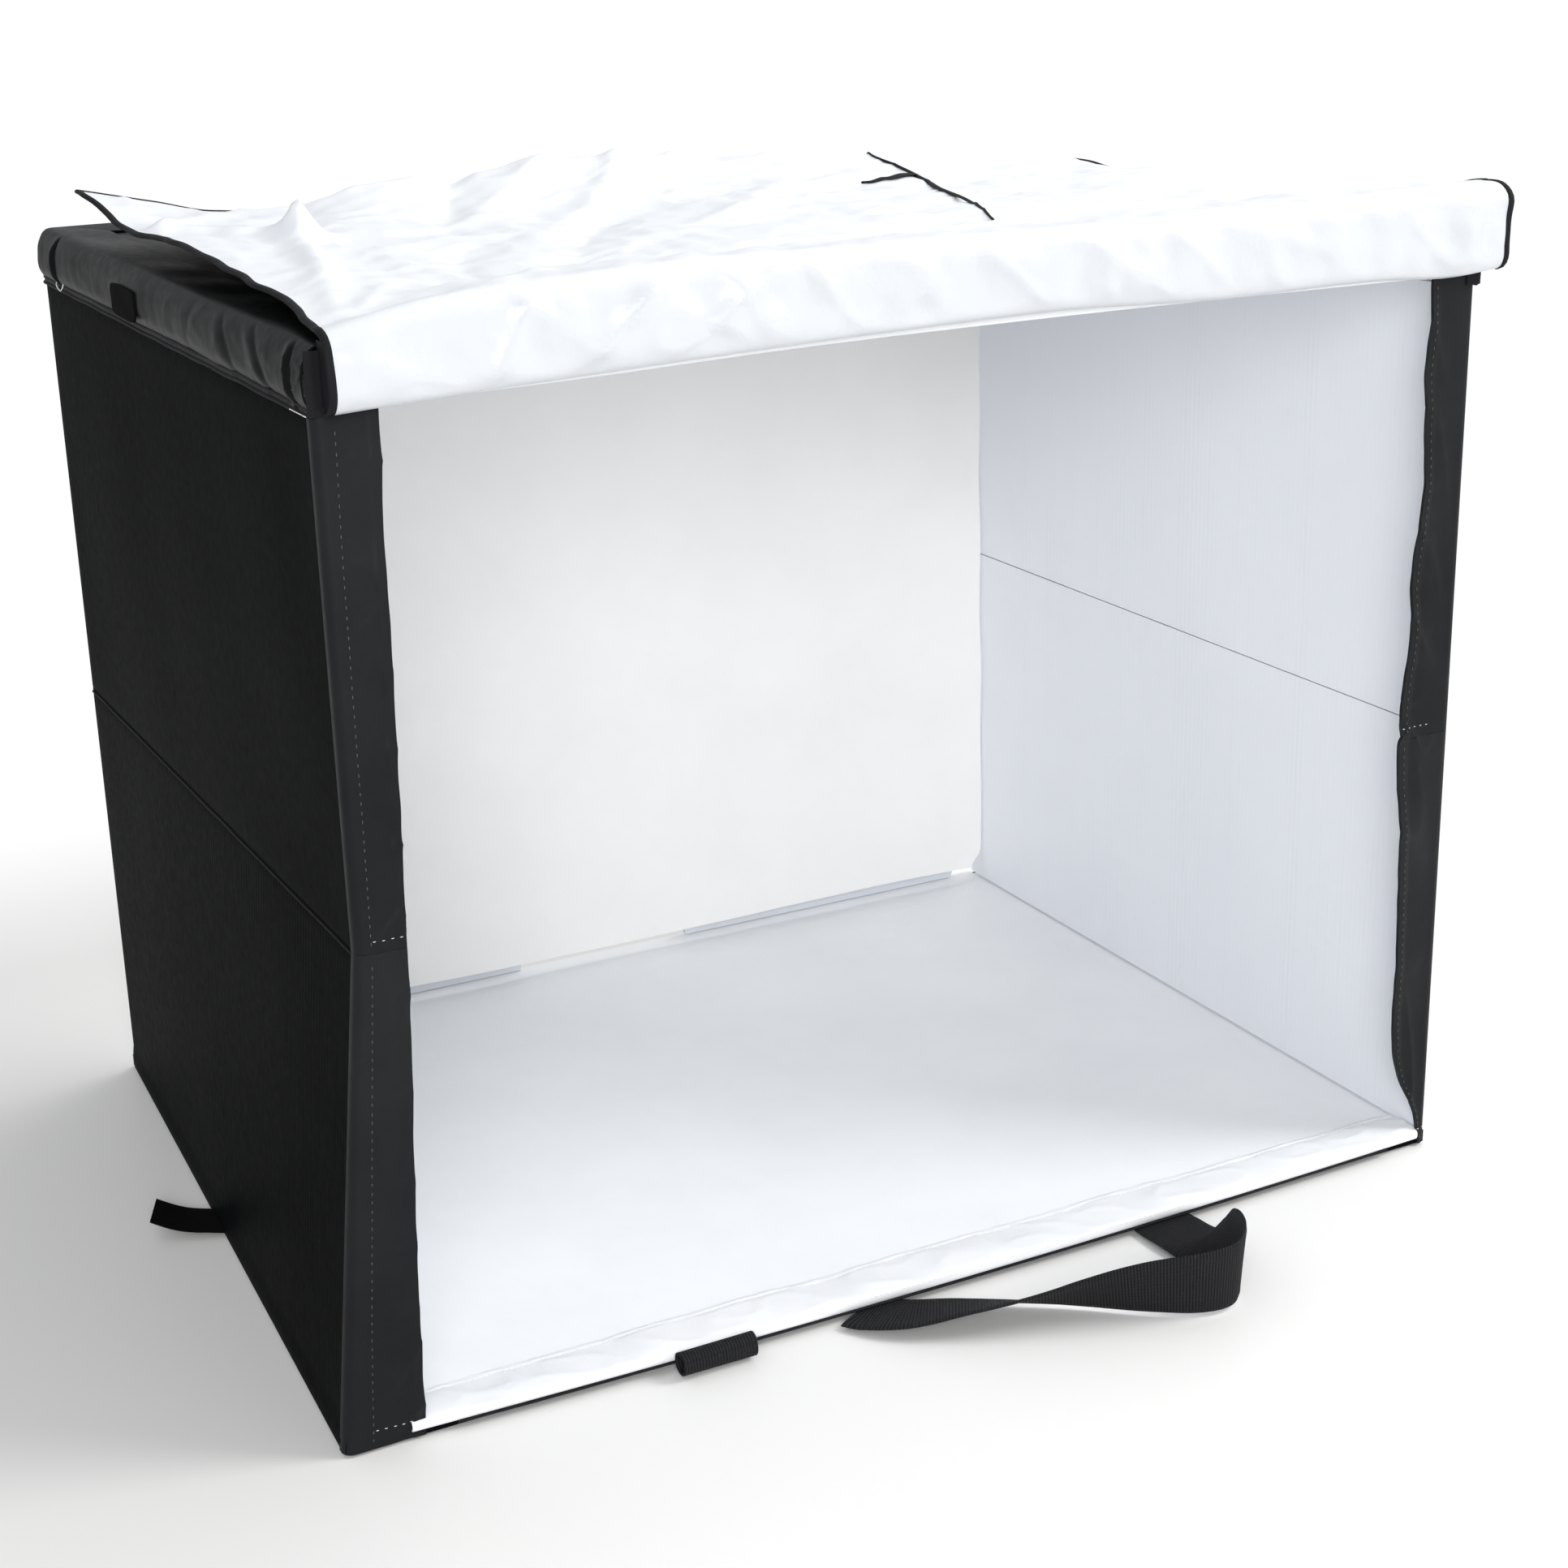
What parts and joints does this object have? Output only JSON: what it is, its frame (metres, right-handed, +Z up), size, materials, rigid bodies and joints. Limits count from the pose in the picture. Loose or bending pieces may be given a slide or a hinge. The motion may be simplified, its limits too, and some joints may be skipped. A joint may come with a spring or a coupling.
{
  "type": "printer enclosure tent",
  "caption": "Fold-flat enclosure for a desktop 3D printer: board floor and roof, side walls that fold inward, an open front with a door flap thrown back over the roof, a rear curtain and a carry handle",
  "frame": {"origin": "middle of the floor's underside", "axes": "+X to the right across the width, +Y to the rear, +Z up; the opening faces -Y"},
  "size_m": [0.7083, 0.6172, 0.5726],
  "materials": {
    "black_nylon": "woven nylon, slight sheen",
    "white_board": "fluted board, satin",
    "white_lining": "coated cloth, glossy",
    "curtain_cloth": "soft matt cloth",
    "black_webbing": "ribbed webbing, matt",
    "hook_pad": "hook and loop, matt"
  },
  "bodies": {
    "floor": {"floor_cover": "black_nylon", "floor_board": "white_board", "floor_lining": "white_lining", "floor_front_binding": "white_lining", "floor_front_piping": "black_nylon", "handle_anchor_left": "black_webbing", "handle_anchor_right": "black_webbing"},
    "left_lower": {"left_lower_board": "white_board", "left_lower_cover": "black_nylon", "left_lower_flange": "black_nylon"},
    "left_upper": {"left_upper_board": "white_board", "left_upper_cover": "black_nylon", "left_upper_flange": "black_nylon"},
    "right_lower": {"right_lower_board": "white_board", "right_lower_cover": "black_nylon", "right_lower_flange": "black_nylon"},
    "right_upper": {"right_upper_board": "white_board", "right_upper_cover": "black_nylon", "right_upper_flange": "black_nylon"},
    "roof": {"roof_cover": "black_nylon", "roof_board": "white_board", "roof_lining": "white_lining", "roof_header": "white_board", "roof_left_rail": "white_board", "roof_right_rail": "white_board", "roof_rear_rail": "white_board", "roof_band_piping": "black_nylon", "closure_patch": "hook_pad", "door_seam_tape": "black_nylon", "curtain_heading": "curtain_cloth"},
    "door_strip": {"door_strip_lining": "white_lining", "door_strip_outer": "black_nylon"},
    "door_panel": {"door_panel_lining": "white_lining", "door_panel_outer": "black_nylon", "door_edge_binding": "black_nylon", "door_corner_fold": "black_nylon"},
    "curtain": {"rear_curtain": "curtain_cloth"},
    "handle": {"carry_handle": "black_webbing"},
    "pull": {"pull_loop": "black_webbing"},
    "strap": {"closure_strap": "hook_pad"},
    "sill_left": {"sill_tab_left": "white_board"},
    "sill_right": {"sill_tab_right": "white_board"}
  },
  "joints": [
    {"name": "left_lower_fold", "type": "hinge", "parent": "floor", "child": "left_lower", "pos_m": [-0.3186, 0, 0.0098], "axis": [0, -1, 0], "range_deg": [-90, 0], "deforming": ["left_lower_flange", "rear_curtain"]},
    {"name": "left_mid_fold", "type": "hinge", "parent": "left_lower", "child": "left_upper", "pos_m": [-0.3253, 0, 0.2603], "axis": [0, -1, 0], "range_deg": [0, 180], "deforming": ["left_upper_flange"]},
    {"name": "left_top_fold", "type": "hinge", "parent": "left_upper", "child": "roof", "pos_m": [-0.3186, 0, 0.5108], "axis": [0, -1, 0], "range_deg": [-90, 0]},
    {"name": "right_lower_fold", "type": "hinge", "parent": "floor", "child": "right_lower", "pos_m": [0.3186, 0, 0.0098], "axis": [0, -1, 0], "range_deg": [0, 90], "deforming": ["right_lower_flange"]},
    {"name": "right_mid_fold", "type": "hinge", "parent": "right_lower", "child": "right_upper", "pos_m": [0.3253, 0, 0.2603], "axis": [0, -1, 0], "range_deg": [-180, 0], "deforming": ["right_upper_flange"]},
    {"name": "door_hinge", "type": "hinge", "parent": "roof", "child": "door_strip", "pos_m": [0, -0.2685, 0.5157], "axis": [1, 0, 0], "range_deg": [0, 178]},
    {"name": "door_panel_fold", "type": "hinge", "parent": "door_strip", "child": "door_panel", "pos_m": [0, -0.2685, 0.5647], "axis": [1, 0, 0], "range_deg": [0, 91.5]},
    {"name": "curtain_swing", "type": "hinge", "parent": "roof", "child": "curtain", "pos_m": [0, 0.243, 0.5307], "axis": [1, 0, 0], "range_deg": [0, 75]},
    {"name": "handle_swing", "type": "hinge", "parent": "floor", "child": "handle", "pos_m": [0, -0.2608, 0.0016], "axis": [-1, 0, 0], "range_deg": [0, 90]},
    {"name": "pull_loop_swing", "type": "hinge", "parent": "floor", "child": "pull", "pos_m": [0, -0.2608, 0.0016], "axis": [-1, 0, 0], "range_deg": [0, 40]},
    {"name": "strap_swing", "type": "hinge", "parent": "floor", "child": "strap", "pos_m": [-0.3272, 0.006, 0.0014], "axis": [0, 1, 0], "range_deg": [0, 75]},
    {"name": "sill_left_fold", "type": "hinge", "parent": "floor", "child": "sill_left", "pos_m": [-0.176, 0.254, 0.0097], "axis": [-1, 0, 0], "range_deg": [0, 90]},
    {"name": "sill_right_fold", "type": "hinge", "parent": "floor", "child": "sill_right", "pos_m": [0.187, 0.254, 0.0097], "axis": [-1, 0, 0], "range_deg": [0, 90]}
  ],
  "couplings": [
    {"joint": "left_mid_fold", "follows": "left_lower_fold", "ratio": -2},
    {"joint": "left_top_fold", "follows": "left_lower_fold", "ratio": 1},
    {"joint": "right_lower_fold", "follows": "left_lower_fold", "ratio": -1},
    {"joint": "right_mid_fold", "follows": "left_lower_fold", "ratio": 2},
    {"joint": "sill_left_fold", "follows": "left_lower_fold", "ratio": -1},
    {"joint": "sill_right_fold", "follows": "left_lower_fold", "ratio": -1},
    {"joint": "door_hinge", "follows": "door_panel_fold", "ratio": 1.945}
  ]
}
